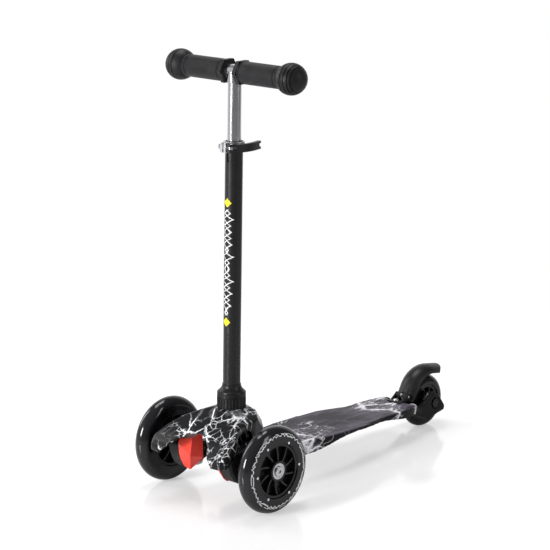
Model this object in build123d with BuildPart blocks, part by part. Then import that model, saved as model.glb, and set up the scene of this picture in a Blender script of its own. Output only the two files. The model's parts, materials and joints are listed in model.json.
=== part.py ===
"""Child's three-wheel kick scooter with lean steering, a telescopic T-bar and a fender brake.

Frame: millimetres, +Z up, the scooter's front points along -Y and the rider's left along +X.
The origin lies on the ground under the middle of the scooter.
"""
import os
from math import cos, radians, sin, sqrt

from build123d import *

os.makedirs("parts", exist_ok=True)

# ---------------------------------------------------------------- wheels
front_wheel_radius = 60.0
front_wheel_width = 24.0
front_core_radius = 37.0
front_spokes = 10
rear_wheel_radius = 40.0
rear_wheel_width = 24.0
rear_core_radius = 24.0
rear_spokes = 8
wheelbase = 430.0
half_track = 100.0
lamp_radius = 1.8
lamp_depth = 3.0
lamp_ring_radius = 40.2
lamp_count = 6

# ---------------------------------------------------------------- bearings, bolts and fits
axle_radius = 4.0
bearing_radius = 11.0
bearing_width = 7.0
bolt_head_radius = 7.0
bolt_head_height = 2.2
nut_width = 13.0
running_gap = 0.05
seat_gap = 0.02
face_gap = 0.3

# ---------------------------------------------------------------- steering
kingpin_x = 44.0
kingpin_setback = -6.0
kingpin_rake = 20.0
kingpin_radius = 4.0
steer_arm_length = 24.0
tie_pin_radius = 3.0
lug_radius = 7.5
lug_low = 54.0
lug_high = 66.0
seam_x = 38.0
cover_inner_x = 20.0
cover_wall = 2.4
knuckle_outer_x = 60.0
knuckle_inset = 0.9
boss_radius = 8.2
boss_ribs = 10
insert_radius = 6.0
insert_length = 16.0

# heights along the kingpin, measured from the axle's level
slot_low = -11.6
slot_high = 16.0
slot_radius = 10.2
arm_low = -21.2
arm_high = -16.6
arm_width = 13.0
pin_head_seat = 22.0
kingpin_nut_height = 3.6

# ---------------------------------------------------------------- T-bar
stem_lean = 1.6
stem_setback = 23.9
stem_seat_height = 122.0
lower_tube_radius = 12.0
lower_tube_wall = 2.0
lower_tube_length = 420.0
socket_depth = 54.0
sleeve_foot = 21.4
sleeve_top = 32.4
upper_tube_radius = 9.5
upper_tube_wall = 1.4
upper_tube_insert = 119.0
crossbar_radius = 10.0
crossbar_wall = 1.5
crossbar_height = 460.2
grip_start = 10.8
grip_flange_end = 17.0
grip_flange_width = 31.0
grip_radius = 15.2
grip_ball_radius = 21.3
grip_ball_centre = 102.7
grip_ball_grooves = (-2.9, 3.3, 8.1, 12.3)  # counted from the ball's centre
grip_groove = 1.2
grip_groove_depth = 1.1
collar_radius = 14.3
collar_height = 13.7
collar_overhang = 1.2
collar_ear = 5.0
collar_slit = 1.2
clamp_bolt_offset = 17.0
lever_pivot_x = 10.5
lever_head_radius = 5.3
lever_height = 11.0
button_radius = 4.0
button_height = 7.0

# ---------------------------------------------------------------- hood and deck
hood_wall = 3.0
hood_reach = 68.0
socket_wall = 4.0
hood_seat = lug_high + seat_gap
screw_radius = 2.0
screw_grip = 12.0
screw_head_depth = 16.0
# one side's hood screws: half spacing, distance behind the front axle, height of their posts
hood_screws = [(24.0, 52.0, 35.0), (10.0, 60.0, 22.0)]

# ---------------------------------------------------------------- rear fork and brake
fork_inner_x = 21.0
fork_thickness = 7.0
fork_slot_start = 376.0
pocket_radius = 8.4
pocket_depth = 3.0
fender_radius = 46.8
fender_wall = 3.0
fender_half_width = 15.8
fender_skirt_wall = 2.4
fender_skirt = 12.1
fender_crown = 7.1
fender_back = 5.0
fender_lift = 7.5
fender_first_angle = 80.0
fender_last_angle = 150.0
fender_foot = 14.5
fender_tail = 22.0
fender_tail_rounding = 12.0
hinge_back = -44.0
hinge_up = 16.0
hinge_pin_radius = 1.6
hinge_barrel_radius = 4.2
bracket_seat = 49.2
bracket_start = 365.0
ear_inner = 9.0
ear_outer = 11.6
brake_bolt_radius = 2.0
brake_bolt_setback = 371.0

# ---------------------------------------------------------------- derived places
front_axle_y = -(wheelbase + rear_wheel_radius - hood_reach) / 2
rear_axle_y = front_axle_y + wheelbase
knuckle_end_x = half_track - front_wheel_width / 2 - face_gap
socket_radius = lower_tube_radius + socket_wall
lower_tube_inner = lower_tube_radius - lower_tube_wall
tube_top = lower_tube_length - socket_depth
upper_tube_foot = tube_top - upper_tube_insert
collar_high = tube_top + collar_overhang
collar_low = collar_high - collar_height
fork_outer_x = fork_inner_x + fork_thickness
sides = {"left": 1, "right": -1}


def fy(setback):
    """Y of a point this far behind the front axle."""
    return front_axle_y + setback


def side_points(points):
    """Points given as (distance behind the front axle, height), ready for a sketch on Plane.YZ."""
    return [(fy(setback), height) for setback, height in points]


def plan_points(half_outline):
    """Closed outline seen from above, from (half width, distance behind the front axle) of one side."""
    left = [(x, fy(setback)) for x, setback in half_outline]
    right = [(-x, y) for x, y in reversed(left) if x > 0]
    return left + right


def mirrored_points(half_outline):
    """Closed outline seen from the front, from (half width, height) of one side."""
    return half_outline + [(-x, z) for x, z in reversed(half_outline) if x > 0]


def through(first, second, third, inside):
    """Plane on three points whose normal leads away from the inside point."""
    a, b, c, centre = (Vector(*point) for point in (first, second, third, inside))
    normal = (b - a).cross(c - a)
    if normal.dot(centre - a) > 0:
        normal = -normal
    return Plane(origin=a, x_dir=b - a, z_dir=normal)


def save(part, name):
    """Label one finished piece and write its STEP file."""
    part.label = name
    export_step(part, f"parts/{name}.step")


def save_pair(part, name):
    """Write the left piece and its mirror image for the right."""
    save(part, f"{name}_left")
    save(mirror(part, about=Plane.YZ), f"{name}_right")


stem = Plane(
    origin=(0, fy(stem_setback), stem_seat_height),
    x_dir=(1, 0, 0),
    z_dir=(0, sin(radians(stem_lean)), cos(radians(stem_lean))),
)
kingpin = Plane(
    origin=(kingpin_x, fy(kingpin_setback), front_wheel_radius),
    x_dir=(1, 0, 0),
    z_dir=(0, -sin(radians(kingpin_rake)), cos(radians(kingpin_rake))),
)
tie_place = Plane(
    origin=kingpin.origin + kingpin.y_dir * steer_arm_length,
    x_dir=kingpin.x_dir,
    z_dir=kingpin.z_dir,
)
bolt_place = Plane((0, fy(brake_bolt_setback), bracket_seat))
kingpin_right = Plane(
    origin=(-kingpin_x, kingpin.origin.Y, kingpin.origin.Z),
    x_dir=kingpin.x_dir,
    z_dir=kingpin.z_dir,
)
bar_axis = Plane(origin=stem.origin + stem.z_dir * crossbar_height, x_dir=(0, 1, 0), z_dir=(1, 0, 0))
left_axle = Plane(origin=(0, front_axle_y, front_wheel_radius), x_dir=(0, 1, 0), z_dir=(1, 0, 0))
rear_axle = Plane(origin=(0, rear_axle_y, rear_wheel_radius), x_dir=(0, 1, 0), z_dir=(1, 0, 0))


def ring(plane, low, high, outer, inner, mode=Mode.ADD):
    """Straight tube between two heights along a plane's normal, added to the open part."""
    with BuildSketch(plane.offset(low)) as section:
        Circle(outer)
        if inner > 0:
            Circle(inner, mode=Mode.SUBTRACT)
    extrude(section.sketch, amount=high - low, mode=mode)


def nut(plane, low, high, width, bore, mode=Mode.ADD):
    """Hexagonal prism with a round hole, added to the open part."""
    with BuildSketch(plane.offset(low)) as section:
        RegularPolygon(width / 2, 6, major_radius=False)
        if bore > 0:
            Circle(bore, mode=Mode.SUBTRACT)
    extrude(section.sketch, amount=high - low, mode=mode)


# ================================================================ wheels
def make_wheel(place, hub, radius, width, core_radius, spokes, lamps):
    """Write the tyre, spoked core, bearings and bearing spacer of a wheel centred on the hub plane."""
    half = width / 2
    rim_half = half - 2.0
    rim_inner = core_radius - 3.0
    hub_radius = bearing_radius + 3.0
    section = Plane(origin=hub.origin, x_dir=hub.x_dir, z_dir=hub.x_dir.cross(hub.z_dir))
    spin = Axis(hub.origin, hub.z_dir)

    with BuildPart() as tyre:
        with BuildSketch(section):
            with BuildLine():
                Polyline(
                    (radius - half, -half),
                    (core_radius + 1.5, -half),
                    (core_radius + seat_gap, -rim_half),
                    (core_radius + seat_gap, rim_half),
                    (core_radius + 1.5, half),
                    (radius - half, half),
                )
                ThreePointArc((radius - half, half), (radius, 0), (radius - half, -half))
            make_face()
        revolve(axis=spin)
        if lamps:
            with BuildSketch(hub.offset(half)):
                with PolarLocations(lamp_ring_radius, lamp_count):
                    Circle(lamp_radius + seat_gap)
            extrude(amount=-lamp_depth, mode=Mode.SUBTRACT)
    save(tyre.part, f"{place}_tyre")

    with BuildPart() as core:
        ring(hub, -rim_half, rim_half, core_radius, rim_inner)
        ring(hub, -half, half, hub_radius, 0)
        ring(hub, -1.5, 1.5, core_radius - 1.0, 0)
        for number in range(spokes):
            spoke_start = hub_radius - 1.5
            sweep_back = 0.28 * core_radius
            spoke_end = sqrt((rim_inner + 1.0) ** 2 - (sweep_back + 2.6) ** 2)
            spoke_middle = (spoke_start + spoke_end) / 2
            turned = hub.x_dir.rotate(Axis((0, 0, 0), hub.z_dir), 360.0 / spokes * number)
            spoke_plane = Plane(origin=hub.origin, x_dir=turned, z_dir=hub.z_dir)
            with BuildSketch(spoke_plane.offset(-rim_half + 1.5)):
                with BuildLine():
                    ThreePointArc(
                        (spoke_start, 0),
                        (spoke_middle, 0.35 * sweep_back),
                        (spoke_end, sweep_back),
                    )
                    Line((spoke_end, sweep_back), (spoke_end, sweep_back + 2.6))
                    ThreePointArc(
                        (spoke_end, sweep_back + 2.6),
                        (spoke_middle, 0.35 * sweep_back + 2.6),
                        (spoke_start, 2.6),
                    )
                    Line((spoke_start, 2.6), (spoke_start, 0))
                make_face()
            extrude(amount=2 * rim_half - 3.0)
        ring(hub, -half, -half + bearing_width, bearing_radius + seat_gap, 0, Mode.SUBTRACT)
        ring(hub, half - bearing_width, half, bearing_radius + seat_gap, 0, Mode.SUBTRACT)
        ring(hub, -half, half, bearing_radius - 2.0, 0, Mode.SUBTRACT)
    save(core.part, f"{place}_wheel_core")

    with BuildPart() as bearings:
        for low in (-half, half - bearing_width):
            ring(hub, low, low + bearing_width, bearing_radius, axle_radius + running_gap)
            for face in (low, low + bearing_width - 0.5):
                ring(hub, face, face + 0.5, 9.2, 6.2, Mode.SUBTRACT)
    save(bearings.part, f"{place}_bearings")

    with BuildPart() as spacer:
        ring(hub, -half + bearing_width, half - bearing_width, 6.0, axle_radius + running_gap)
    save(spacer.part, f"{place}_bearing_spacer")

    if lamps:
        with BuildPart() as lamp_set:
            with BuildSketch(hub.offset(half - lamp_depth + seat_gap)):
                with PolarLocations(lamp_ring_radius, lamp_count):
                    Circle(lamp_radius)
            extrude(amount=lamp_depth)
        save(lamp_set.part, f"{place}_lamps")


for place, side in sides.items():
    hub = Plane(
        origin=(side * half_track, front_axle_y, front_wheel_radius),
        x_dir=(0, 1, 0),
        z_dir=(side, 0, 0),
    )
    make_wheel(
        f"front_{place}", hub, front_wheel_radius, front_wheel_width, front_core_radius, front_spokes, True
    )
make_wheel("rear", rear_axle, rear_wheel_radius, rear_wheel_width, rear_core_radius, rear_spokes, False)

# ================================================================ steering knuckles
knuckle_profile = [
    (-38.5, 82.0), (-41.5, 76.0), (-41.0, 64.0), (-37.0, 51.0), (-30.0, 39.5),
    (-21.5, 34.0), (-4.0, 41.0), (8.0, 44.0), (9.5, 76.0), (3.0, 82.5),
]
with BuildPart() as knuckle:
    with BuildSketch(Plane.YZ.offset(seam_x + seat_gap)):
        with BuildLine():
            Polyline(side_points(knuckle_profile), close=True)
        make_face()
        offset(amount=-knuckle_inset)
    extrude(amount=knuckle_outer_x - seam_x - seat_gap)
    chamfer(knuckle.faces().sort_by(Axis.X)[-1].edges(), 3.2)
    # cone and ribs that narrow from the plate to the axle boss
    cone_end = knuckle_end_x - 8.0
    with BuildSketch(left_axle.offset(knuckle_outer_x - 2.0)):
        Circle(2 * boss_radius)
    with BuildSketch(left_axle.offset(cone_end)):
        Circle(boss_radius)
    loft()
    ring(left_axle, cone_end - 1.0, knuckle_end_x, boss_radius, 0)
    for number in range(boss_ribs):
        turn = radians(360.0 / boss_ribs * number)
        rib_plane = Plane(
            origin=(knuckle_outer_x, front_axle_y, front_wheel_radius),
            x_dir=(1, 0, 0),
            z_dir=(0, -sin(turn), cos(turn)),
        )
        with BuildSketch(rib_plane):
            with BuildLine():
                rib_end = cone_end - knuckle_outer_x + 2.0
                Polyline(
                    (-1, 4), (-1, 19.5), (4, 17), (rib_end, boss_radius + 0.7), (rib_end, 4), close=True
                )
            make_face()
        extrude(amount=0.9, both=True)
    # slot for the deck's lug and the centring spring, open inwards and to the rear
    with BuildSketch(kingpin.offset(slot_low)):
        with Locations((slot_radius, 0)):
            Rectangle(seam_x + slot_radius, 60, align=(Align.MAX, Align.MIN))
        Circle(slot_radius)
    extrude(amount=slot_high - slot_low, mode=Mode.SUBTRACT)
    # tie arm on the lower lug, the kingpin's bore and the flat under its head
    with BuildSketch(kingpin.offset(arm_low)):
        with Locations((0, steer_arm_length / 2)):
            SlotCenterToCenter(steer_arm_length, arm_width, rotation=90)
    extrude(amount=arm_high - arm_low)
    ring(kingpin, pin_head_seat - 8.0, pin_head_seat, 9.0, 0)
    ring(kingpin, pin_head_seat, pin_head_seat + 20.0, 8.0, 0, Mode.SUBTRACT)
    ring(kingpin, slot_low - 0.01, slot_high, slot_radius, 0, Mode.SUBTRACT)
    ring(kingpin, arm_low, pin_head_seat, kingpin_radius + running_gap, 0, Mode.SUBTRACT)
    ring(tie_place, arm_low, arm_high, tie_pin_radius + seat_gap, 0, Mode.SUBTRACT)
    # seat of the threaded insert
    ring(left_axle, knuckle_end_x - insert_length, knuckle_end_x, insert_radius + seat_gap, 0, Mode.SUBTRACT)
save_pair(knuckle.part, "knuckle")

with BuildPart() as insert:
    ring(left_axle, knuckle_end_x - insert_length, knuckle_end_x, insert_radius, axle_radius + seat_gap)
save_pair(insert.part, "axle_insert")

bolt_seat_x = half_track + front_wheel_width / 2 + 0.1
with BuildPart() as axle_bolt:
    ring(left_axle, knuckle_end_x - insert_length + 1.0, bolt_seat_x, axle_radius, 0)
    ring(left_axle, bolt_seat_x, bolt_seat_x + bolt_head_height, bolt_head_radius, 0)
    chamfer(axle_bolt.faces().sort_by(Axis.X)[-1].edges(), 0.7)
    head_face = bolt_seat_x + bolt_head_height
    nut(left_axle, head_face - 1.6, head_face, 5.0, 0, Mode.SUBTRACT)
save_pair(axle_bolt.part, "front_axle_bolt")

# ---------------------------------------------------------------- red covers of the knuckles
seam_outline = [
    (-38.7, 82.0), (-41.5, 77.0), (-41.0, 65.0), (-37.3, 52.0),
    (-30.5, 40.0), (-22.3, 34.0), (-6.0, 46.0), (-5.0, 86.0),
]
seam = [(seam_x, fy(setback), height) for setback, height in seam_outline]
nose_high, nose_tip, nose, chin_high, chin, keel, heel, crown = seam
shoulder = (24.0, fy(-27.5), 86.0)
cheek = (22.0, fy(-34.4), 59.0)
belly = (34.0, fy(-22.7), 34.0)
hip = (26.0, fy(-6.6), 50.0)
cover_core = (32.0, fy(-22.0), 62.0)
cover_facets = [
    (crown, shoulder, nose_high), (shoulder, hip, cheek), (belly, hip, cheek), (keel, heel, belly),
    (nose_high, nose_tip, shoulder), (shoulder, nose_tip, cheek), (nose_tip, nose, cheek),
    (nose, chin_high, cheek), (chin_high, chin, cheek), (chin, belly, cheek), (chin, keel, belly),
]
with BuildPart() as cover:
    with BuildSketch(Plane.YZ.offset(cover_inner_x)):
        with BuildLine():
            Polyline([(y, z) for x, y, z in seam], close=True)
        make_face()
    extrude(amount=seam_x - cover_inner_x)
    for first, second, third in cover_facets:
        split(bisect_by=through(first, second, third, cover_core), keep=Keep.BOTTOM)
    offset(amount=-cover_wall, openings=cover.faces().sort_by(Axis.X)[-1])
    ring(kingpin, slot_low - 0.5, slot_high + 30.0, slot_radius, 0, Mode.SUBTRACT)
    ring(kingpin, arm_low - 8.0, arm_high + 1.0, arm_width / 2 + 0.5, 0, Mode.SUBTRACT)
save_pair(cover.part, "knuckle_cover")

# ---------------------------------------------------------------- kingpins, tie rod and springs
with BuildPart() as kingpin_bolt:
    ring(kingpin, arm_low - kingpin_nut_height - 0.6, pin_head_seat + running_gap, kingpin_radius, 0)
    ring(kingpin, pin_head_seat + running_gap, pin_head_seat + 3.0, 6.4, 0)
save_pair(kingpin_bolt.part, "kingpin")

with BuildPart() as kingpin_nut:
    nut(kingpin, arm_low - 0.1 - kingpin_nut_height, arm_low - 0.1, nut_width, kingpin_radius + seat_gap)
save_pair(kingpin_nut.part, "kingpin_nut")

spring_low = 9.4
with BuildPart() as centring_spring:
    with BuildLine():
        coil = Helix(pitch=1.9, height=5.2, radius=7.2, center=kingpin.origin + kingpin.z_dir * spring_low,
                     direction=kingpin.z_dir)
    with BuildSketch(Plane(origin=coil @ 0, z_dir=coil % 0)):
        Circle(0.8)
    sweep(is_frenet=True)
save_pair(centring_spring.part, "centring_spring")

rod_high = arm_low - face_gap
rod_low = rod_high - 4.2
tie_right = Plane(
    origin=(-tie_place.origin.X, tie_place.origin.Y, tie_place.origin.Z),
    x_dir=tie_place.x_dir,
    z_dir=tie_place.z_dir,
)
rod_middle = Plane(
    origin=(0, tie_place.origin.Y, tie_place.origin.Z), x_dir=tie_place.x_dir, z_dir=tie_place.z_dir
)
with BuildPart() as tie_rod:
    with BuildSketch(rod_middle.offset(rod_low)):
        SlotCenterToCenter(2 * kingpin_x, 10.0)
    extrude(amount=rod_high - rod_low)
    for end in (tie_place, tie_right):
        ring(end, rod_low, rod_high, tie_pin_radius + running_gap, 0, Mode.SUBTRACT)
save(tie_rod.part, "tie_rod")

with BuildPart() as tie_pin:
    ring(tie_place, rod_low - 1.4, arm_high + 0.1, tie_pin_radius, 0)
    ring(tie_place, arm_high + 0.02, arm_high + 1.4, 4.4, 0)
    ring(tie_place, rod_low - 1.2, rod_low - 0.1, 4.2, 0)
save_pair(tie_pin.part, "tie_pin")

# ================================================================ hood
hood_plan = [
    (0, -45), (14, -46.5), (28, -57), (36, -64), (50, -hood_reach), (67, -66), (75, -47),
    (65, -30), (53, -17), (47.5, 0), (46, 24), (42.5, 36), (37, 46), (30, 54), (21, 62), (10, 69), (0, 71),
]
hood_top = stem_seat_height
hood_foot = hood_top - 82
hood_front = [
    (0, hood_top), (20, hood_top - 0.5), (36, hood_top - 6.5), (53, hood_top - 15), (65, hood_top - 26),
    (74, hood_top - 41), (74, hood_foot), (0, hood_foot),
]
hood_side = [
    (-hood_reach, hood_foot), (-hood_reach, hood_top - 49), (-60, hood_top - 41), (-46, hood_top - 31),
    (-31, hood_top - 21.5), (-18, hood_top - 14), (0, hood_top - 5), (8, hood_top), (40, hood_top),
    (50, hood_top - 9), (60, hood_top - 23), (67, hood_top - 36), (71, hood_top - 48), (71, hood_foot),
]
dome_profile = [
    (20, hood_top), (25, hood_top - 1.8), (31, hood_top - 6.2), (37.5, hood_top - 13.5), (41.8, hood_top - 22),
    (44, hood_top - 31), (45.5, hood_top - 42), (45.5, hood_foot),
]
rim_side = [
    (-90, hood_top - 56), (-57, hood_top - 56), (-46, hood_top - 45), (-31, hood_top - 34), (-18, hood_top - 27),
    (3, hood_top - 19), (12, hood_top - 23), (22, hood_top - 32), (34, hood_top - 45), (45, hood_seat),
    (90, hood_seat), (90, 0), (-90, 0),
]
rim_front = [
    (0, hood_top - 26), (14, hood_top - 28), (28, hood_top - 35.5), (36, hood_top - 42.5),
    (50, hood_top - 55), (50, 0), (0, 0),
]
dome_setback = 23.5
# three points of the slope that cuts each rear shoulder: half width, distance behind the axle, height
rear_slope = [(45, 31, hood_top - 13), (30, 51, hood_top - 24), (34, 40, hood_top - 9.5)]


def hood_form(wall):
    """Outer form of the hood, or with a wall the hollow inside that wall."""
    with BuildPart() as form:
        with BuildSketch(Plane.XY.offset(wall)) as plan:
            with BuildLine():
                Polyline(plan_points(hood_plan), close=True)
            make_face()
            fillet(plan.vertices(), 2.5)
            if wall:
                offset(amount=-wall)
        extrude(amount=stem_seat_height)
        with BuildSketch(Plane.XZ) as front:
            with BuildLine():
                Polyline(mirrored_points(hood_front), close=True)
            make_face()
            fillet(front.vertices().filter_by(lambda corner: corner.Y > hood_foot + 5), 2.5)
            if wall:
                offset(amount=-wall)
        extrude(amount=400, both=True, mode=Mode.INTERSECT)
        with BuildSketch(Plane.YZ) as profile:
            with BuildLine():
                Polyline(side_points(hood_side), close=True)
            make_face()
            fillet(profile.vertices().filter_by(lambda corner: corner.Y > hood_top - 43), 2.5)
            if wall:
                offset(amount=-wall)
        extrude(amount=90, both=True, mode=Mode.INTERSECT)
        for side in sides.values():
            corners = [(side * x, fy(setback), height) for x, setback, height in rear_slope]
            split(bisect_by=through(*corners, (0, fy(0), hood_foot)).offset(-wall), keep=Keep.BOTTOM)
        with BuildSketch(Plane.YZ):
            with BuildLine():
                dome = [(fy(dome_setback) + radius - wall, height - wall) for radius, height in dome_profile]
                Polyline((fy(dome_setback), dome[0][1]), *dome)
                Polyline(dome[-1], (fy(dome_setback), dome[-1][1]), (fy(dome_setback), dome[0][1]))
            make_face()
        revolve(axis=Axis((0, fy(dome_setback), 0), (0, 0, 1)))
    return form.part


socket_plane = stem.offset(-socket_depth)
with BuildPart() as hood:
    add(hood_form(0))
    add(hood_form(hood_wall), mode=Mode.SUBTRACT)
    with BuildSketch(Plane.YZ):
        with BuildLine():
            Polyline(side_points(rim_side), close=True)
        make_face()
    extrude(amount=100, both=True, mode=Mode.SUBTRACT)
    with BuildSketch(Plane.XZ.offset(-fy(-95))):
        with BuildLine():
            Polyline(mirrored_points(rim_front), close=True)
        make_face()
    extrude(amount=-60, mode=Mode.SUBTRACT)
    # socket of the T-bar with its webs, and the bosses of the screws
    ring(socket_plane, 0, socket_depth - 1.0, socket_radius, 0)
    with BuildSketch(Plane.YZ):
        with BuildLine():
            Polyline(side_points([
                (38, hood_seat), (69, hood_seat), (69, hood_top - 46), (58, hood_top - 24), (38, hood_top - 10),
            ]), close=True)
        make_face()
    extrude(amount=1.5, both=True)
    for x, setback, tall in hood_screws:
        for centre in (x, -x):
            post = Plane((centre, fy(setback), hood_seat))
            ring(post, 0, tall, 5.0, 0)
            ring(post, 0, screw_grip + 1.0, screw_radius + seat_gap, 0, Mode.SUBTRACT)
    ring(socket_plane, 0, socket_depth + 2.0, lower_tube_radius + seat_gap, 0, Mode.SUBTRACT)
    ring(stem, -seat_gap, 4.0, 26.0, 0, Mode.SUBTRACT)
save(hood.part, "steering_housing")

with BuildPart() as housing_screws:
    for x, setback, tall in hood_screws:
        for centre in (x, -x):
            head = Plane((centre, fy(setback), lug_high - screw_head_depth))
            ring(head, 0, hood_seat - head.origin.Z + screw_grip, screw_radius, 0)
            ring(head, -2.4, 0, 3.6, 0)
            nut(head, -2.4, -1.2, 3.0, 0, Mode.SUBTRACT)
save(housing_screws.part, "housing_screws")

# ================================================================ deck
deck_edge = [(47, 56), (46, 70), (41, 86), (42, 105), (45, 128), (49.5, 165), (51, 200), (50.5, 235),
             (47.5, 264), (41, 286), (38.5, 304), (39.5, 335), (36, 365), (30, 386), (28, 400)]
deck_shoulder = [(72, 66), (90, 61), (120, 57.3), (150, 56)]
deck_flat = [(150, 56), (270, 52)]
deck_back = [(270, 52), (305, 50.2), (382, 49.5)]
fork_end = [(382, 49.5), (389, 42), (404, 44.5), (417, 51.5), (426.5, 60), (442, 47), (453, 31), (451, 25),
            (424, 20.5), (417.5, 16.5), (410, 21), (400, 24.5)]
deck_keel = [(400, 24.5), (384, 33.5), (355, 36), (325, 40), (290, 44), (255, 47.2), (215, 47.6), (187, 44.5),
             (160, 39.5), (128, 36), (100, 37), (60, 43)]
fork_rounding_start = 388.0
fork_rounding = 2.0
front_arm_low = 55.5
front_arm_inner = 40.0
front_arm_outer = 50.0
cell_size = (21.0, 15.0)
cell_pitch = (24.5, 18.0)
cell_middle = 116.0
cell_roof = 48.0
with BuildPart() as deck:
    with BuildSketch(Plane.XY) as plan:
        with BuildLine():
            edge = Spline(*[(x, fy(setback)) for x, setback in deck_edge])
            Polyline((0, fy(44)), (deck_edge[0][0], fy(44)), edge @ 0)
            Polyline(edge @ 1, (deck_edge[-1][0], fy(470)), (0, fy(470)))
            mirror(about=Plane.YZ)
        make_face()
    extrude(amount=90)
    with BuildSketch(Plane.YZ) as profile:
        with BuildLine():
            Polyline(*side_points([deck_keel[-1], (44, 44), (44, lug_high), (72, lug_high)]))
            tread = Polyline(*side_points(deck_flat))
            Spline(*side_points(deck_shoulder), tangents=((1, -0.35), tread % 0))
            Spline(*side_points(deck_back), tangents=(tread % 1, (1, 0)))
            Polyline(*side_points(fork_end))
            Spline(*side_points(deck_keel))
        make_face()
        fillet(profile.vertices().filter_by(lambda corner: corner.X > fy(fork_rounding_start)), fork_rounding)
    extrude(amount=90, both=True, mode=Mode.INTERSECT)
    # rear fork: slot of the wheel, open to the rear
    with BuildSketch(Plane.XY):
        with Locations((0, fy(fork_slot_start))):
            Rectangle(2 * fork_inner_x, 120, align=(Align.CENTER, Align.MIN))
    extrude(amount=90, mode=Mode.SUBTRACT)
    # cells that lighten the deep front of the deck, open below
    with BuildSketch(Plane.XY.offset(cell_roof)):
        with Locations((0, fy(cell_middle))):
            with GridLocations(*cell_pitch, 3, 3):
                Rectangle(*cell_size)
    extrude(amount=-cell_roof, mode=Mode.SUBTRACT)
    # arms and lugs that carry the kingpins
    with BuildSketch(Plane.XY.offset(front_arm_low)):
        for middle in (front_arm_inner + front_arm_outer, -front_arm_inner - front_arm_outer):
            with Locations((middle / 2, fy(kingpin_setback))):
                Rectangle(front_arm_outer - front_arm_inner, 56, align=(Align.CENTER, Align.MIN))
    extrude(amount=lug_high - front_arm_low)
    with BuildSketch(Plane.XY.offset(lug_low)):
        with Locations((kingpin_x, fy(kingpin_setback)), (-kingpin_x, fy(kingpin_setback))):
            Circle(lug_radius)
    extrude(amount=lug_high - lug_low)
    for pin in (kingpin, kingpin_right):
        ring(pin, -20.0, 20.0, kingpin_radius + seat_gap, 0, Mode.SUBTRACT)
    # holes of the hood's screws, with room for their heads from below
    for x, setback, tall in hood_screws:
        for centre in (x, -x):
            hole = Plane((centre, fy(setback), lug_high - screw_head_depth))
            ring(hole, 0, 20.0, screw_radius + seat_gap, 0, Mode.SUBTRACT)
            ring(hole, -12.0, 0, 3.8, 0, Mode.SUBTRACT)
    # axle holes of the rear fork and the pockets of its bolt head and nut
    ring(rear_axle, -40.0, 40.0, axle_radius + seat_gap, 0, Mode.SUBTRACT)
    for face in (1, -1):
        pocket = rear_axle.offset(face * fork_outer_x)
        ring(pocket, 0, -face * pocket_depth, pocket_radius, 0, Mode.SUBTRACT)
    # flat seat and bolt hole of the brake's bracket
    with Locations((0, fy(bracket_start - 0.4), bracket_seat - seat_gap)):
        Box(2 * ear_outer + 0.8, 20.0, 8.0, align=(Align.CENTER, Align.MIN, Align.MIN), mode=Mode.SUBTRACT)
    ring(bolt_place, -12.0, 6.0, brake_bolt_radius + seat_gap, 0, Mode.SUBTRACT)
save(deck.part, "deck")

# ================================================================ T-bar on its tilted stem plane
button_place = Plane(
    origin=stem.origin + stem.z_dir * button_height,
    x_dir=(1, 0, 0),
    z_dir=stem.y_dir,
)
with BuildPart() as base_collar:
    ring(stem, 0, 14.4, 19.2, 0)
    with BuildSketch(stem):
        with PolarLocations(19.2, 28):
            Circle(0.8)
    extrude(amount=14.0)
    ring(stem, 14.4, 15.2, 18.4, 0)
    ring(stem, 15.2, 21.3, 19.8, 0)
    ring(stem, 0, 21.3, lower_tube_radius + seat_gap, 0, Mode.SUBTRACT)
    ring(button_place, 0, 30.0, button_radius + running_gap, 0, Mode.SUBTRACT)
save(base_collar.part, "base_collar")

with BuildPart() as tube_sleeve:
    with BuildSketch(Plane(origin=stem.origin, x_dir=(1, 0, 0), z_dir=-stem.y_dir)):
        with BuildLine():
            flare_start = sleeve_foot + 1.2
            Polyline((lower_tube_radius + seat_gap, sleeve_foot), (19.0, sleeve_foot), (18.6, flare_start))
            Spline(
                (18.6, flare_start),
                (15.6, flare_start + 2.8),
                (13.6, flare_start + 6.0),
                (13.0, flare_start + 8.8),
            )
            Polyline((13.0, flare_start + 8.8), (13.0, sleeve_top), (lower_tube_radius + seat_gap, sleeve_top),
                     (lower_tube_radius + seat_gap, sleeve_foot))
        make_face()
    revolve(axis=Axis(stem.origin, stem.z_dir))
save(tube_sleeve.part, "tube_sleeve")

with BuildPart() as lower_tube:
    ring(stem, -socket_depth, tube_top, lower_tube_radius, lower_tube_inner)
    ring(button_place, 0, 30.0, button_radius + running_gap, 0, Mode.SUBTRACT)
    # slit that lets the clamp close the tube's mouth
    with Locations(stem.offset(tube_top - 26.0).location):
        Box(2.4, 20.0, 30.0, align=(Align.CENTER, Align.MAX, Align.MIN), mode=Mode.SUBTRACT)
save(lower_tube.part, "lower_tube")

with BuildPart() as tube_plug:
    ring(stem, -socket_depth, -socket_depth + 10.0, lower_tube_inner - seat_gap, 0)
save(tube_plug.part, "tube_plug")

with BuildPart() as tube_bush:
    ring(stem, tube_top - 27.0, tube_top + 0.1, lower_tube_inner - seat_gap, upper_tube_radius + running_gap)
    ring(stem, tube_top + 0.1, tube_top + 1.8, 11.4, upper_tube_radius + running_gap)
save(tube_bush.part, "tube_bush")

with BuildPart() as upper_tube:
    ring(stem, upper_tube_foot, crossbar_height, upper_tube_radius, upper_tube_radius - upper_tube_wall)
    ring(bar_axis, -30.0, 30.0, crossbar_radius + seat_gap, 0, Mode.SUBTRACT)
save(upper_tube.part, "upper_tube")

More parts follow.
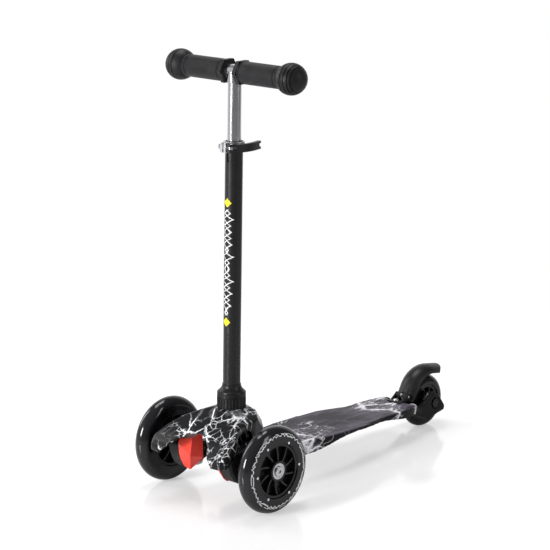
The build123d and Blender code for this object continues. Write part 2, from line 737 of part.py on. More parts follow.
bar_end = grip_ball_centre + grip_ball_radius - 3.9  # floor of the grips' bore
with BuildPart() as crossbar:
    ring(stem, crossbar_height - 13.8, crossbar_height, upper_tube_radius + 1.1, 0)
    ring(stem, crossbar_height - 14.8, crossbar_height, upper_tube_radius + seat_gap, 0, Mode.SUBTRACT)
    ring(bar_axis, -bar_end + seat_gap, bar_end - seat_gap, crossbar_radius, 0)
    ring(bar_axis, -bar_end, bar_end, crossbar_radius - crossbar_wall, 0, Mode.SUBTRACT)
save(crossbar.part, "crossbar")

with BuildPart() as grip:
    nut(bar_axis, grip_start, grip_flange_end, grip_flange_width, 0)
    ring(bar_axis, grip_flange_end - 0.1, grip_ball_centre, grip_radius, 0)
    for start in (grip_flange_end + 2.5, grip_ball_centre - grip_ball_radius):
        ring(bar_axis, start, start + grip_groove, grip_radius + 1.0, grip_radius - 0.5, Mode.SUBTRACT)
    with Locations(bar_axis.offset(grip_ball_centre).location):
        Sphere(grip_ball_radius)
    # grooves of the ball, each cut the same depth into the round
    for start in grip_ball_grooves:
        groove_floor = sqrt(grip_ball_radius**2 - (start + grip_groove / 2) ** 2) - grip_groove_depth
        low = grip_ball_centre + start
        ring(bar_axis, low, low + grip_groove, grip_ball_radius + 1.0, groove_floor, Mode.SUBTRACT)
    ring(bar_axis, 0, bar_end, crossbar_radius + seat_gap, 0, Mode.SUBTRACT)
save_pair(grip.part, "grip")

# ---------------------------------------------------------------- quick-release clamp
collar_middle = (collar_low + collar_high) / 2
clamp_plane = stem.offset(collar_middle)
bolt_axis = Plane(
    origin=clamp_plane.origin - clamp_plane.y_dir * clamp_bolt_offset, x_dir=stem.z_dir, z_dir=(1, 0, 0)
)
lever_pivot = Plane(
    origin=bolt_axis.origin + Vector(lever_pivot_x, 0, 0), x_dir=(1, 0, 0), z_dir=stem.z_dir
)
with BuildPart() as clamp_collar:
    ring(clamp_plane, -collar_height / 2, collar_height / 2, collar_radius, 0)
    with Locations(clamp_plane.location):
        Box(2 * collar_ear, 21.4, collar_height, align=(Align.CENTER, Align.MAX, Align.CENTER))
        with Locations((0, -15.0, 0)):
            Box(2 * collar_slit, 30.0, collar_height, mode=Mode.SUBTRACT)
    ring(clamp_plane, -collar_height, collar_height, lower_tube_radius + seat_gap, 0, Mode.SUBTRACT)
    ring(bolt_axis, -10.0, 10.0, 2.5 + seat_gap, 0, Mode.SUBTRACT)
save(clamp_collar.part, "clamp_collar")

with BuildPart() as clamp_bolt:
    ring(bolt_axis, -collar_ear - 5.4, collar_ear - 0.1, 2.5, 0)
    with Locations(bolt_axis.location):
        Box(3.6, 3.6, lever_pivot_x, align=(Align.CENTER, Align.CENTER, Align.MIN))
    ring(lever_pivot, -1.8, 1.8, 3.6, 0)
    ring(lever_pivot, -2.0, 2.0, 1.5 + running_gap, 0, Mode.SUBTRACT)
save(clamp_bolt.part, "clamp_bolt")

with BuildPart() as clamp_nut:
    nut(bolt_axis, -collar_ear - 4.6, -collar_ear - 0.1, 6.8, 2.5 + seat_gap)
save(clamp_nut.part, "clamp_nut")

with BuildPart() as clamp_pin:
    ring(lever_pivot, -lever_height / 2, lever_height / 2, 1.5, 0)
save(clamp_pin.part, "clamp_pin")

lever_outer = [(14.6, -20.3), (19.4, -13.0), (22.0, -4.0), (22.6, 8.0), (20.0, 22.0), (16.0, 35.0)]
lever_inner = [(11.0, 33.5), (14.9, 21.0), (17.4, 8.0), (17.0, -3.0), (15.0, -9.0), (12.5, -12.1)]
with BuildPart() as clamp_lever:
    with BuildSketch(clamp_plane.offset(-lever_height / 2)):
        with BuildLine():
            outer = Spline(*lever_outer)
            inner = Spline(*lever_inner)
            Line(outer @ 1, inner @ 0)
            Line(inner @ 1, outer @ 0)
        make_face()
        with Locations((lever_pivot_x, -clamp_bolt_offset)):
            Circle(lever_head_radius)
    extrude(amount=lever_height)
    # notch of the finger end, slot of the bolt's eye and hole of the pin
    with Locations(clamp_plane.location):
        with Locations((13.5, 31.0, 0)):
            Box(12.0, 12.0, 4.6, mode=Mode.SUBTRACT, align=(Align.CENTER, Align.MIN, Align.CENTER))
    ring(lever_pivot, -2.15, 2.15, lever_head_radius + 4.0, 0, Mode.SUBTRACT)
    ring(lever_pivot, -lever_height, lever_height, 1.5 + seat_gap, 0, Mode.SUBTRACT)
save(clamp_lever.part, "clamp_lever")

# ---------------------------------------------------------------- button that locks the T-bar in its socket
with BuildPart() as lock_button:
    ring(button_place, 8.2, 22.8, button_radius, 0)
    fillet(lock_button.faces().sort_by(Axis.Y)[-1].edges(), 1.2)
    ring(button_place, 7.0, 8.2, 5.0, 0)
save(lock_button.part, "lock_button")

with BuildPart() as lock_spring:
    with BuildSketch(Plane(origin=button_place.origin - stem.z_dir * 3.0, x_dir=(1, 0, 0), z_dir=stem.z_dir)):
        with BuildLine():
            Polyline((-2.0, -9.7), (2.0, -9.7), (5.6, -3.0), (2.0, 3.4), (-2.0, 3.4), (-2.0, 2.7), (1.6, 2.7),
                     (4.7, -3.0), (1.6, -9.0), (-2.0, -9.0), close=True)
        make_face()
    extrude(amount=6.0)
save(lock_spring.part, "lock_spring")

# ================================================================ rear axle and fender brake
with BuildPart() as rear_bolt:
    ring(rear_axle, -fork_outer_x - 1.0, fork_outer_x - pocket_depth + 0.1, axle_radius, 0)
    nut(rear_axle, fork_outer_x - pocket_depth + 0.1, fork_outer_x + 0.4, nut_width, 0)
save(rear_bolt.part, "rear_axle_bolt")

with BuildPart() as rear_nut:
    nut(rear_axle, -fork_outer_x - 0.4, -fork_outer_x + pocket_depth - 0.1, nut_width, axle_radius + seat_gap)
save(rear_nut.part, "rear_axle_nut")

with BuildPart() as rear_spacers:
    hub_face = rear_wheel_width / 2 + 0.1
    ring(rear_axle, hub_face, fork_inner_x - 0.05, 6.2, axle_radius + seat_gap)
    ring(rear_axle, -fork_inner_x + 0.05, -hub_face, 6.2, axle_radius + seat_gap)
save(rear_spacers.part, "rear_spacers")

fender_centre = rear_axle.origin + Vector(0, fender_back, fender_lift)
tail_turn = radians(fender_first_angle)
outward = Vector(0, cos(tail_turn), sin(tail_turn))
tailward = Vector(0, sin(tail_turn), -cos(tail_turn))
hinge = Plane(origin=rear_axle.origin + Vector(0, hinge_back, hinge_up), x_dir=(0, 1, 0), z_dir=(1, 0, 0))
with BuildPart() as fender:
    with BuildSketch(Plane(origin=fender_centre, x_dir=outward, z_dir=-tailward)) as section:
        skirt_low = fender_radius - fender_skirt
        outside = fender_half_width
        inside = fender_half_width - fender_skirt_wall
        shoulder_high = fender_radius - fender_crown
        hollow_high = shoulder_high - 1.7
        with BuildLine():
            Line((skirt_low, -outside), (shoulder_high, -outside))
            ThreePointArc((shoulder_high, -outside), (fender_radius, 0), (shoulder_high, outside))
            Polyline((shoulder_high, outside), (skirt_low, outside), (skirt_low, inside), (hollow_high, inside))
            ThreePointArc((hollow_high, inside), (fender_radius - fender_wall, 0), (hollow_high, -inside))
            Polyline((hollow_high, -inside), (skirt_low, -inside), (skirt_low, -outside))
        make_face()
    revolve(axis=Axis(fender_centre, (1, 0, 0)), revolution_arc=fender_last_angle - fender_first_angle)
    extrude(section.sketch, amount=-fender_tail)
    extrude(fender.faces().sort_by(Axis.Z)[0], amount=fender_foot)
    # rounded end of the tail, seen from above
    with BuildSketch(Plane(origin=fender_centre + outward * 30.0, x_dir=(1, 0, 0), z_dir=outward)):
        with Locations((0, fender_tail - fender_tail_rounding)):
            Rectangle(60, 60, align=(Align.CENTER, Align.MIN))
            Ellipse(fender_half_width + 0.6, fender_tail_rounding, mode=Mode.SUBTRACT)
    extrude(amount=30.0, mode=Mode.SUBTRACT)
    ring(hinge, -8.6, 8.6, hinge_barrel_radius, 0)
    ring(hinge, -3.2, 3.2, hinge_barrel_radius + 0.6, 0, Mode.SUBTRACT)
    for low in (8.7, -12.1):
        ring(hinge, low, low + 3.4, hinge_barrel_radius + 0.9, 0, Mode.SUBTRACT)
    ring(hinge, -20.0, 20.0, hinge_pin_radius + running_gap, 0, Mode.SUBTRACT)
save(fender.part, "brake_fender")

plate_top = bracket_seat + 2.4
with BuildPart() as bracket:
    with Locations((0, fy(bracket_start), bracket_seat)):
        Box(2 * ear_outer, 14.0, 2.4, align=(Align.CENTER, Align.MIN, Align.MIN))
    for low in (ear_inner, -ear_outer):
        with BuildSketch(hinge.offset(low)):
            Circle(hinge_barrel_radius)
            with BuildLine():
                Polyline((-13.0, plate_top - hinge.origin.Z - 2.4), (-7.0, plate_top - hinge.origin.Z - 2.4),
                         (1.0, -4.0), (-1.0, 4.0), (-13.0, plate_top - hinge.origin.Z), close=True)
            make_face()
        extrude(amount=ear_outer - ear_inner)
    ring(hinge, -20.0, 20.0, hinge_pin_radius + seat_gap, 0, Mode.SUBTRACT)
    ring(bolt_place, -1.0, 10.0, brake_bolt_radius + seat_gap, 0, Mode.SUBTRACT)
save(bracket.part, "brake_bracket")

with BuildPart() as hinge_pin:
    ring(hinge, -ear_outer - 0.8, ear_outer + 0.8, hinge_pin_radius, 0)
save(hinge_pin.part, "brake_hinge_pin")

with BuildPart() as brake_spring:
    with BuildLine():
        coil_start = hinge.origin - Vector(2.5, 0, 0)
        coil = Helix(pitch=1.25, height=5.0, radius=2.9, center=coil_start, direction=(1, 0, 0))
    with BuildSketch(Plane(origin=coil @ 0, z_dir=coil % 0)):
        Circle(0.5)
    sweep(is_frenet=True)
save(brake_spring.part, "brake_spring")

with BuildPart() as brake_bolt:
    ring(bolt_place, -11.0, 2.45, brake_bolt_radius, 0)
    ring(bolt_place, 2.45, 4.8, 4.0, 0)
    fillet(brake_bolt.edges().sort_by(Axis.Z)[-1], 1.8)
save(brake_bolt.part, "brake_bolt")
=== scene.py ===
"""Child's kick scooter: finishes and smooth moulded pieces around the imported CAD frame.

Metres, +Z up; the scooter's front points along -Y and the rider's left along +X.
"""

import json
from math import cos, radians, sin, tau

import bmesh
import bpy
from mathutils import Matrix, Vector


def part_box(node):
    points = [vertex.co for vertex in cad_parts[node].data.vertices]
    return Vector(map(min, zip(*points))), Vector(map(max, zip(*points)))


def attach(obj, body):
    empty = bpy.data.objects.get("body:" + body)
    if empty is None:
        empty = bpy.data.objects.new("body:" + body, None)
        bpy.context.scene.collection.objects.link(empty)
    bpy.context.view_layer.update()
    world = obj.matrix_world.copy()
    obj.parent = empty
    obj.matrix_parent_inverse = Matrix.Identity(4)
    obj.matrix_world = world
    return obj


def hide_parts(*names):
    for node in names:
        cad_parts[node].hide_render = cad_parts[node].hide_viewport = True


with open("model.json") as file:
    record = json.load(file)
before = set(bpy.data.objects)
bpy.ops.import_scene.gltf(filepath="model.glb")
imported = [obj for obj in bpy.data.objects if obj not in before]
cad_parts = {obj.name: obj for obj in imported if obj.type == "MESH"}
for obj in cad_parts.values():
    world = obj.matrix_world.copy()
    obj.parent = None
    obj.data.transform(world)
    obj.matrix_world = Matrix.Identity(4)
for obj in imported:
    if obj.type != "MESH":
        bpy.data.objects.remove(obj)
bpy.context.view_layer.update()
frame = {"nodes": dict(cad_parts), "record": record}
MM = 0.001


# ---------------------------------------------------------------- places taken from the frame
def middle(node):
    """Centre of a CAD node's box."""
    low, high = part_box(node)
    return (low + high) / 2


def half_size(node):
    """Half of a CAD node's extent along X, Y and Z."""
    low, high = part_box(node)
    return (high - low) / 2


left_hub = middle("front_left_tyre")
right_hub = middle("front_right_tyre")
rear_hub = middle("rear_tyre")
front_half_width = half_size("front_left_tyre").x
front_radius = half_size("front_left_tyre").z


# ---------------------------------------------------------------- shader maths
class Wire:
    """A node's output socket that Python arithmetic can use."""

    def __init__(self, nodes, socket):
        self.nodes = nodes
        self.socket = socket

    def math(self, operation, *others):
        """Math node that has this wire first and the others after it."""
        return self.nodes.math(operation, self, *others)

    def __add__(self, other):
        return self.math("ADD", other)

    def __sub__(self, other):
        return self.math("SUBTRACT", other)

    def __rsub__(self, other):
        return self.nodes.math("SUBTRACT", other, self)

    def __mul__(self, other):
        return self.math("MULTIPLY", other)

    def __abs__(self):
        return self.math("ABSOLUTE")

    __radd__ = __add__
    __rmul__ = __mul__

    def step(self, low, high):
        """0 below low and 1 above high, smooth between; low may be the larger one."""
        settings = {"interpolation_type": "SMOOTHSTEP"}
        return self.nodes.node("ShaderNodeMapRange", settings, self, low, high, 0.0, 1.0)

    def parts(self):
        """X, Y and Z of a vector."""
        split = self.nodes.node("ShaderNodeSeparateXYZ", {}, self)
        return [Wire(self.nodes, output) for output in split.socket.node.outputs]


class Nodes:
    """A node tree that is wired up by calls and Wire arithmetic."""

    def __init__(self, tree):
        self.tree = tree

    def feed(self, socket, value):
        """Link a Wire to a socket, or set a number, vector or colour on it."""
        if isinstance(value, Wire):
            self.tree.links.new(value.socket, socket)
        elif socket.type == "RGBA":
            socket.default_value = (*value, 1.0)
        else:
            socket.default_value = value

    def node(self, kind, settings, *values, out=0, **named):
        """Make a node: its settings first, then what its sockets get, in order or by name."""
        made = self.tree.nodes.new(kind)
        for key, setting in settings.items():
            setattr(made, key, setting)
        sockets = [socket for socket in made.inputs if socket.enabled]
        for socket, value in zip(sockets, values):
            self.feed(socket, value)
        for name, value in named.items():
            self.feed(made.inputs[name], value)
        return Wire(self, made.outputs[out])

    def math(self, operation, *values):
        """Math node on Wires and plain numbers."""
        return self.node("ShaderNodeMath", {"operation": operation}, *values)

    def vector(self, operation, *values, **named):
        """Vector Math node."""
        return self.node("ShaderNodeVectorMath", {"operation": operation}, *values, **named)

    def place(self, centre=(0.0, 0.0, 0.0), stretch=(1.0, 1.0, 1.0)):
        """Object coordinates from a centre; a stretch below 1 draws a pattern out along that axis."""
        coordinates = self.node("ShaderNodeTexCoord", {}, out="Object")
        return self.vector("MULTIPLY", self.vector("SUBTRACT", coordinates, tuple(centre)), stretch)

    def noise(self, vector, scale, detail=3.0, roughness=0.55, out=0):
        """Noise between 0 and 1, its scale in features per metre."""
        return self.node(
            "ShaderNodeTexNoise", {}, out=out, Vector=vector, Scale=scale, Detail=detail, Roughness=roughness
        )

    def cell_edges(self, vector, size):
        """Distance in metres to the nearest border between cells of a size."""
        settings = {"feature": "DISTANCE_TO_EDGE"}
        return self.node("ShaderNodeTexVoronoi", settings, Vector=vector, Scale=1 / size) * size

    def ray(self, kind):
        """1 for rays of a kind, such as Camera or Glossy, and 0 for the others."""
        return self.node("ShaderNodeLightPath", {}, out=f"Is {kind} Ray")

    def mix(self, factor, first, second):
        """Blend of two colours."""
        blend = self.node("ShaderNodeMix", {"data_type": "RGBA"}, factor, first, second)
        return Wire(self, [out for out in blend.socket.node.outputs if out.type == "RGBA"][0])


class Finish(Nodes):
    """A principled material; constants for its other sockets are given by name, with _ for a space."""

    def __init__(self, name, color, roughness, metallic=0.0, **constants):
        self.material = bpy.data.materials.new(name)
        self.material.use_nodes = True
        super().__init__(self.material.node_tree)
        self.shader = self.tree.nodes["Principled BSDF"]
        self.set("Base Color", color)
        self.set("Roughness", roughness)
        self.set("Metallic", metallic)
        for socket, value in constants.items():
            self.set(socket.replace("_", " "), value)

    def set(self, name, value):
        """Put a constant or a Wire on one of the shader's sockets."""
        self.feed(self.shader.inputs[name], value)

    def bump(self, height, strength, distance):
        """Raise the surface by a height between 0 and 1."""
        raised = self.node("ShaderNodeBump", {}, Strength=strength, Distance=distance, Height=height)
        self.set("Normal", raised)

    def grain(self, scale=700.0, strength=0.12, distance=0.3 * MM, detail=2.0, stretch=(1.0, 1.0, 1.0)):
        """Fine raised texture all over."""
        self.bump(self.noise(self.place(stretch=stretch), scale, detail), strength, distance)

    def uneven_sheen(self, roughness):
        """Let the roughness drift a little over the surface; gives the drift, between 0 and 1."""
        drift = self.noise(self.place(), 40.0)
        self.set("Roughness", drift.step(0.3, 0.7) * 0.10 + (roughness - 0.05))
        return drift


def lightning(finish, centre, stretch, seed, size, thick):
    """Mask of forked bolts along the edges of bent cells, with hair-thin twigs and a glow beside them.

    size is the width of a cell, and thick half the width of a strong bolt. seed moves the pattern.
    """
    jag_push = 13.0 * MM
    thinnest = 0.12 * MM
    twigs_per_cell = 3.1
    glow_brightness = 0.16
    twig_brightness = 0.85
    at = finish.place(centre, stretch)
    jag = finish.noise(at, 75.0, detail=6.0, roughness=0.66, out="Color")
    push = finish.vector("SCALE", finish.vector("SUBTRACT", jag, (0.5, 0.5, 0.5)), Scale=jag_push)
    bent = finish.vector("ADD", finish.vector("ADD", at, push), (seed, seed * 0.37, -seed))
    to_bolt = finish.cell_edges(bent, size)
    to_twig = finish.cell_edges(bent, size / twigs_per_cell)

    power = finish.noise(bent, 0.6 / size, detail=1.0).step(0.44, 0.62)
    shown = finish.noise(at, 0.9 / size, detail=1.0).step(0.36, 0.44)
    tufted = finish.noise(at, 1.4 / size, detail=1.0).step(0.45, 0.53)
    width = power * thick + thinnest
    bolt = to_bolt.step(width, width * 0.4) * shown
    glow = to_bolt.step(width * 2.6, 0.0) * power * glow_brightness
    near_bolt = to_bolt.step(size * 0.26, size * 0.10) * tufted
    hair = to_twig.step(0.48 * MM, 0.24 * MM) * near_bolt * twig_brightness
    return bolt.math("MAXIMUM", hair.math("MAXIMUM", glow))


# ---------------------------------------------------------------- patterned finishes
def hood_paint():
    """Gloss black with white bolts; the tip of the right arm stays plain."""
    black = (0.004, 0.004, 0.005)
    white = (0.90, 0.91, 0.94)
    centre = middle("steering_housing")
    finish = Finish("hood_paint", black, 0.28, Specular_IOR_Level=0.25, Coat_Weight=0.08, Coat_Roughness=0.1)
    bolts = lightning(finish, centre, (1.0, 1.0, 0.55), seed=0.31, size=40.0 * MM, thick=1.2 * MM)
    across = finish.place(centre).parts()[0]
    patterned = across.step(-66.0 * MM, -42.0 * MM)
    finish.set("Base Color", finish.mix(bolts * patterned, black, white))
    finish.grain(800.0, 0.05)
    return finish


def deck_paint():
    """Smoky violet-grey tread print with white bolts, fewest halfway along; the tread is painted lit top,
    lighter only on faces turned up as overhead light falls; sides and fork arms are black.
    """
    side_black = (0.007, 0.007, 0.008)
    # Tread tones: the smoky streaks are the print; their lightness is painted overhead light on the top.
    lit_smoke_dark = (0.015, 0.012, 0.018)
    lit_smoke_light = (0.098, 0.084, 0.116)
    white = (0.88, 0.86, 0.90)
    centre = middle("deck")
    finish = Finish("deck_paint", side_black, 0.46, Specular_IOR_Level=0.14)

    behind_axle = finish.place((0.0, left_hub.y, 0.0)).parts()[1]
    fork_arms = behind_axle.step(372.0 * MM, 392.0 * MM)
    halfway = behind_axle.step(180.0 * MM, 215.0 * MM) * behind_axle.step(325.0 * MM, 290.0 * MM)
    bolts = lightning(finish, centre, (1.0, 0.75, 1.0), seed=0.83, size=40.0 * MM, thick=2.2 * MM)
    bolts = bolts * (1.0 - halfway * 0.95) * (1.0 - fork_arms)

    cloud = finish.noise(finish.place(centre, (1.0, 0.3, 1.0)), 26.0, detail=5.0)
    streak = finish.noise(finish.place(centre, (1.0, 0.12, 1.0)), 130.0)
    lit_smoke = finish.mix((cloud * 0.6 + streak * 0.4).step(0.42, 0.60), lit_smoke_dark, lit_smoke_light)
    # Painted lit top: only faces turned upward get the lighter smoky tone, and the sides stay black.
    painted_lit_top = finish.node("ShaderNodeNewGeometry", {}, out="Normal").parts()[2].step(0.35, 0.85)
    shade = finish.mix(painted_lit_top * (1.0 - fork_arms), side_black, lit_smoke)
    finish.set("Base Color", finish.mix(bolts, shade, white))
    finish.grain(900.0, 0.08, 0.4 * MM)
    return finish


def tube_paint():
    """Black tube; two crossing white zigzags with a yellow lozenge at each end are printed on its front."""
    black = (0.009, 0.009, 0.010)
    white = (0.80, 0.80, 0.81)
    yellow = (0.88, 0.80, 0.02)
    roughness = 0.30
    print_rise = 47.0 * MM
    zigzag_reach = 73.0 * MM
    lozenge_reach = 82.0 * MM
    half_pitch = 8.5 * MM
    finish = Finish("tube_paint", black, roughness, Specular_IOR_Level=0.35)
    finish.uneven_sheen(roughness)

    x, y, z = finish.place(middle("lower_tube") + Vector((0.0, 0.0, print_rise))).parts()
    along = finish.place(stretch=(0.0, 0.0, 1.0))
    width = finish.noise(along, 55.0, detail=1.0).step(0.34, 0.60) * 0.8 + 0.3
    swing = (z.math("PINGPONG", half_pitch) - half_pitch / 2) * width * 1.7 + 1.0 * MM
    thick_line = abs(x - swing).step(1.45 * MM, 1.05 * MM)
    thin_line = abs(x + swing).step(1.05 * MM, 0.75 * MM)
    front = y.step(-3.0 * MM, -5.0 * MM)
    zigzags = thick_line.math("MAXIMUM", thin_line) * abs(z).step(zigzag_reach, zigzag_reach - 0.6 * MM)
    lozenges = (abs(x) + abs(abs(z) - lozenge_reach)).step(6.6 * MM, 6.0 * MM)
    shade = finish.mix(zigzags * front, black, white)
    finish.set("Base Color", finish.mix(lozenges * front, shade, yellow))
    finish.grain(1500.0, 0.10)
    return finish


def tyre(name, hub, printed_side=0):
    """Dark clear polyurethane, with a ring of jagged lines on the left (1) or right (-1) face if printed."""
    core_side = (0.005, 0.005, 0.006)
    tread_side = (0.014, 0.014, 0.016)
    white = (0.84, 0.84, 0.86)
    finish = Finish(name, core_side, 0.12, Specular_IOR_Level=0.4)
    x, y, z = finish.place(hub).parts()
    radius = (y * y + z * z).math("SQRT")
    shade = finish.mix(radius.step(front_radius - 14.0 * MM, front_radius - 2.0 * MM), core_side, tread_side)
    if printed_side:
        turn = y.math("ARCTAN2", z) * (1 / tau)
        teeth = abs((turn * 39).math("FRACT") - 0.5)
        small_teeth = abs((turn * 92).math("FRACT") - 0.5)
        swing = finish.noise(finish.place(hub), 60.0, detail=1.0).step(0.35, 0.62) * teeth
        jagged_radius = (front_radius - 12.4 * MM) + swing * (7.5 * MM) + small_teeth * (2.2 * MM)
        outer_radius = (front_radius - 8.0 * MM) - swing * (3.2 * MM)
        jagged_line = abs(radius - jagged_radius).step(0.95 * MM, 0.65 * MM)
        broken = finish.noise(finish.place(hub), 95.0, detail=1.0).step(0.46, 0.52)
        outer_line = abs(radius - outer_radius).step(0.50 * MM, 0.34 * MM) * broken
        face = (x * printed_side).step(front_half_width - 3.0 * MM, front_half_width - 2.0 * MM)
        shade = finish.mix(jagged_line.math("MAXIMUM", outer_line) * face, shade, white)
    finish.set("Base Color", shade)
    return finish


# ---------------------------------------------------------------- plain finishes
def moulded(name, color, roughness, gloss=0.25, **grain):
    """Injection-moulded plastic or rubber with a fine grain and uneven sheen."""
    finish = Finish(name, color, roughness, Specular_IOR_Level=gloss)
    drift = finish.uneven_sheen(roughness)
    lighter = tuple(channel * 1.35 + 0.002 for channel in color)
    finish.set("Base Color", finish.mix(drift.step(0.35, 0.7), color, lighter))
    finish.grain(**grain)
    return finish


def grip_rubber():
    """Dull rubber with fine ribs along the grip."""
    along = (0.02, 1.0, 1.0)
    ribs = {"scale": 520.0, "strength": 0.35, "distance": 0.6 * MM, "detail": 1.0, "stretch": along}
    return moulded("grip_rubber", (0.008, 0.008, 0.009), 0.46, gloss=0.2, **ribs)


def metal(name, color, roughness, scale=600.0, strength=0.05, stretch=(1.0, 1.0, 1.0)):
    """Metal with fine drawn or turned lines."""
    finish = Finish(name, color, roughness, metallic=1.0)
    lines = finish.noise(finish.place(stretch=stretch), scale)
    finish.set("Roughness", lines.step(0.25, 0.75) * 0.10 + (roughness - 0.04))
    finish.bump(lines, strength, 0.2 * MM)
    return finish


# ---------------------------------------------------------------- which piece gets which finish
black_steel = metal("black_steel", (0.035, 0.035, 0.038), 0.34)
finish_of_slot = {
    "hood_black": hood_paint(),
    "deck_plastic": deck_paint(),
    "tube_black": tube_paint(),
    "tyre_clear": tyre("tyre_front_left", left_hub, printed_side=1),
    "satin_black": moulded("black_plastic", (0.010, 0.010, 0.011), 0.36),
    "core_black": moulded("core_plastic", (0.006, 0.006, 0.007), 0.22, gloss=0.35, strength=0.04),
    "cover_red": moulded("red_plastic", (1.0, 0.085, 0.058), 0.32, gloss=0.4, strength=0.05),
    "bush_plastic": moulded("bush_plastic", (0.02, 0.02, 0.021), 0.5),
    "grip_rubber": grip_rubber(),
    "lamp_clear": Finish("lamp_clear", (0.86, 0.87, 0.90), 0.12, Coat_Weight=0.5),
    "bar_silver": metal("bar_chrome", (0.78, 0.78, 0.80), 0.15, stretch=(1.0, 1.0, 0.03)),
    "clamp_silver": metal("clamp_silver", (0.66, 0.66, 0.68), 0.34, scale=260.0, strength=0.25),
    "steel": metal("bolt_steel", (0.62, 0.62, 0.63), 0.26),
    "spring_steel": metal("spring_steel", (0.40, 0.40, 0.42), 0.30),
    "brass": metal("brass", (0.72, 0.52, 0.24), 0.28),
}
finish_of_node = {
    "front_right_tyre": tyre("tyre_front_right", right_hub, printed_side=-1),
    "rear_tyre": tyre("tyre_rear", rear_hub),
    "brake_bracket": black_steel,
    "rear_axle_bolt": black_steel,
    "rear_axle_nut": black_steel,
}
slot_of_node = {part["node"]: part["material_slot"] for part in frame["record"]["subparts"]}
bodies = frame["record"]["behaviour"]["bodies"]
body_of_node = {node: body for body, nodes in bodies.items() for node in nodes}


def dress(piece, node):
    """Give an object the finish of a CAD node and no other."""
    finish = finish_of_node.get(node, finish_of_slot[slot_of_node[node]])
    piece.data.materials.clear()
    piece.data.materials.append(finish.material)


for node_name, node_object in frame["nodes"].items():
    dress(node_object, node_name)


# ---------------------------------------------------------------- smooth pieces that stand for CAD nodes
def merged_copy(node, name):
    """New object with a CAD node's shape as one closed mesh, its flat facets joined."""
    mesh = frame["nodes"][node].data.copy()
    mesh.name = name
    shape = bmesh.new()
    shape.from_mesh(mesh)
    bmesh.ops.remove_doubles(shape, verts=shape.verts, dist=0.002 * MM)
    bmesh.ops.dissolve_limit(shape, angle_limit=radians(0.6), verts=shape.verts, edges=shape.edges)
    shape.to_mesh(mesh)
    shape.free()
    piece = bpy.data.objects.new(name, mesh)
    bpy.context.scene.collection.objects.link(piece)
    return piece


def stand_for(piece, node):
    """Give a piece the finish and body of the CAD node that it replaces, and hide that node."""
    dress(piece, node)
    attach(piece, body_of_node[node])
    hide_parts(node)


def softened(node, width):
    """Stand for a node with its corners rounded to a small radius."""
    piece = merged_copy(node, f"{node}_soft")
    bevel = piece.modifiers.new("corners", "BEVEL")
    bevel.width = width
    bevel.segments = 2
    bevel.limit_method = "ANGLE"
    bevel.angle_limit = radians(30)
    piece.data.shade_smooth()
    piece.data.set_sharp_from_angle(angle=radians(35))
    stand_for(piece, node)


def remoulded(node, voxel, rounds):
    """Stand for a node with its shape remeshed and relaxed into one flowing moulded skin."""
    piece = merged_copy(node, f"{node}_skin")
    remesh = piece.modifiers.new("remesh", "REMESH")
    remesh.mode = "VOXEL"
    remesh.voxel_size = voxel
    relax = piece.modifiers.new("relax", "SMOOTH")
    relax.factor = 0.5
    relax.iterations = rounds
    evaluated = piece.evaluated_get(bpy.context.evaluated_depsgraph_get())
    skin = bpy.data.meshes.new_from_object(evaluated)
    piece.modifiers.clear()
    piece.data = skin
    piece.data.shade_smooth()
    stand_for(piece, node)


remoulded("steering_housing", voxel=1.2 * MM, rounds=8)
remoulded("deck", voxel=1.5 * MM, rounds=4)
for node in ("knuckle_left", "knuckle_right", "clamp_lever", "clamp_collar", "base_collar", "brake_fender"):
    softened(node, 0.5 * MM)
for node in ("knuckle_cover_left", "knuckle_cover_right"):
    softened(node, 0.7 * MM)

# ---------------------------------------------------------------- camera
camera_place = Vector((1.987, left_hub.y - 1.9645, 0.9967))
azimuth = radians(43.744)
pitch = radians(13.797)
roll = radians(-0.271)
back = Vector((sin(azimuth) * cos(pitch), -cos(azimuth) * cos(pitch), sin(pitch)))
right = Vector((cos(azimuth), sin(azimuth), 0.0))
rise = back.cross(right)
rolled_right = cos(roll) * right + sin(roll) * rise
rolled_rise = cos(roll) * rise - sin(roll) * right

camera_lens = bpy.data.cameras.new("camera")
camera_lens.lens = 140.32
camera_lens.sensor_width = 36.0
camera = bpy.data.objects.new("camera", camera_lens)
turn_to_world = Matrix((rolled_right, rolled_rise, back)).transposed().to_4x4()
camera.matrix_world = Matrix.Translation(camera_place) @ turn_to_world
bpy.context.scene.collection.objects.link(camera)
bpy.context.scene.camera = camera
bpy.context.scene.view_settings.view_transform = "Standard"


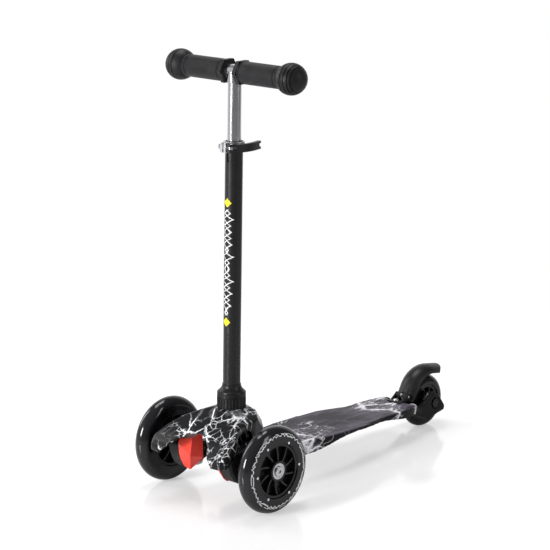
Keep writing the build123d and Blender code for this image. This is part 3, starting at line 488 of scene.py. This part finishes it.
# ---------------------------------------------------------------- floor, world and lamps
def studio_floor():
    """Wide glossy floor that glows near white for the camera and fades out into the white world."""
    pale = (0.80, 0.80, 0.81)
    pale_to_camera = (0.58, 0.57, 0.575)
    finish = Finish("floor", pale, 0.13, Specular_IOR_Level=0.40, Emission_Strength=0.44)
    seen = finish.ray("Camera")
    finish.set("Base Color", finish.mix(seen, pale, pale_to_camera))
    finish.set("Emission Color", finish.mix(seen, (0.0, 0.0, 0.0), (1.0, 1.0, 1.0)))
    x, y = finish.place().parts()[:2]
    from_middle = (x * x + y * y).math("SQRT")
    finish.set("Alpha", 1.0 - seen * from_middle.step(0.55, 1.25))
    bpy.ops.mesh.primitive_circle_add(vertices=96, radius=2.5, fill_type="NGON", location=(0, 0, 0))
    floor = bpy.context.object
    floor.name = "floor"
    floor.data.materials.append(finish.material)


def studio_world():
    """White to the camera, soft light elsewhere; metal mirrors a pale wall behind and a one on the left."""
    dim_mirrored = 0.16
    soft_light = 0.30
    world = bpy.data.worlds.new("studio")
    bpy.context.scene.world = world
    world.use_nodes = True
    studio = Nodes(world.node_tree)
    straight = studio.ray("Camera") + studio.ray("Transmission")
    mirrored = studio.ray("Glossy")
    toward = studio.node("ShaderNodeTexCoord", {}, out="Generated")
    behind = studio.vector("DOT_PRODUCT", toward, tuple(back), out="Value").step(-0.30, -0.80)
    leftward = studio.vector("DOT_PRODUCT", toward, tuple(right), out="Value").step(-0.60, -0.80)
    walls = behind.math("MAXIMUM", leftward * 0.42)
    mirrored_level = walls * (1.0 - dim_mirrored) + dim_mirrored
    level = straight + mirrored * mirrored_level + (1.0 - straight - mirrored) * soft_light
    backdrop = world.node_tree.nodes["Background"]
    studio.feed(backdrop.inputs["Color"], (1.0, 1.0, 1.0))
    studio.feed(backdrop.inputs["Strength"], level)


def soft_lamp(name, place, aim, size, power):
    """Large rectangular lamp turned to a point."""
    light = bpy.data.lights.new(name, "AREA")
    light.shape = "RECTANGLE"
    light.size, light.size_y = size
    light.energy = power
    lamp = bpy.data.objects.new(name, light)
    lamp.location = place
    lamp.rotation_euler = (Vector(aim) - Vector(place)).to_track_quat("-Z", "Y").to_euler()
    bpy.context.scene.collection.objects.link(lamp)


studio_floor()
studio_world()
soft_lamp("lamp_top", (-0.4, 0.1, 2.0), aim=(0, 0, 0.1), size=(0.9, 0.9), power=17)
soft_lamp("lamp_front", (-0.45, -2.3, 0.8), aim=(0, -0.2, 0.1), size=(0.5, 0.7), power=50)
soft_lamp("lamp_left", (-1.9, -0.6, 1.1), aim=(0, -0.1, 0.25), size=(0.4, 1.3), power=11)
soft_lamp("lamp_right", (1.9, 0.5, 1.1), aim=(0, 0, 0.25), size=(0.4, 1.4), power=11)
